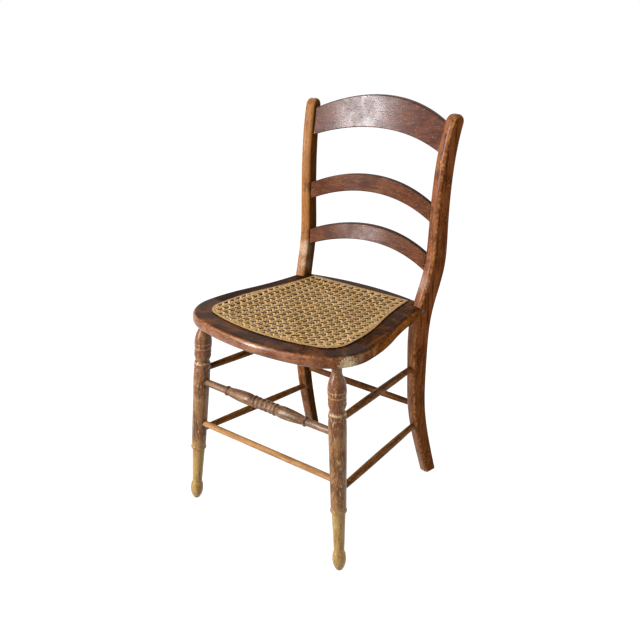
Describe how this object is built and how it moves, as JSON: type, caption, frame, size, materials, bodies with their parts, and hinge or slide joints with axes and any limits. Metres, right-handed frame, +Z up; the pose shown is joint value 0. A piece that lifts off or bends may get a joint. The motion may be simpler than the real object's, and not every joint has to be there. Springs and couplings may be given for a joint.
{
  "type": "ladderback chair",
  "caption": "Armless wooden dining chair with three arched slats between sabre-shaped back posts, a caned seat, turned front legs and a turned front stretcher.",
  "frame": {"origin": "middle of the chair's footprint on the floor, at the bottom centre of its bounding box", "axes": "+Z up, -Y to the chair's front, +X to the right of someone facing the chair's front"},
  "size_m": [0.4077, 0.4695, 0.824],
  "materials": {
    "varnished_wood": "old dark red-brown varnish, glossy, worn to orange brown on edges",
    "bare_wood": "pale new hardwood, satin",
    "cane": "split rattan cane, satin",
    "screw_steel": "dull old steel"
  },
  "bodies": {
    "root": {"back_post_left": "varnished_wood", "back_post_right": "varnished_wood", "crest_rail": "varnished_wood", "upper_slat": "varnished_wood", "lower_slat": "varnished_wood", "seat_front_rail": "varnished_wood", "seat_side_rail_left": "varnished_wood", "seat_side_rail_right": "varnished_wood", "seat_rear_rail": "varnished_wood", "cane_panel": "cane", "cane_binder": "cane", "seat_screws": "screw_steel", "seat_dowels": "bare_wood", "front_leg_left": "varnished_wood", "front_leg_right": "varnished_wood", "front_stretcher_turned": "varnished_wood", "front_stretcher_plain": "bare_wood", "side_stretcher_upper_left": "varnished_wood", "side_stretcher_upper_right": "varnished_wood", "side_stretcher_lower_left": "varnished_wood", "side_stretcher_lower_right": "varnished_wood", "rear_stretcher": "varnished_wood"}
  },
  "joints": []
}
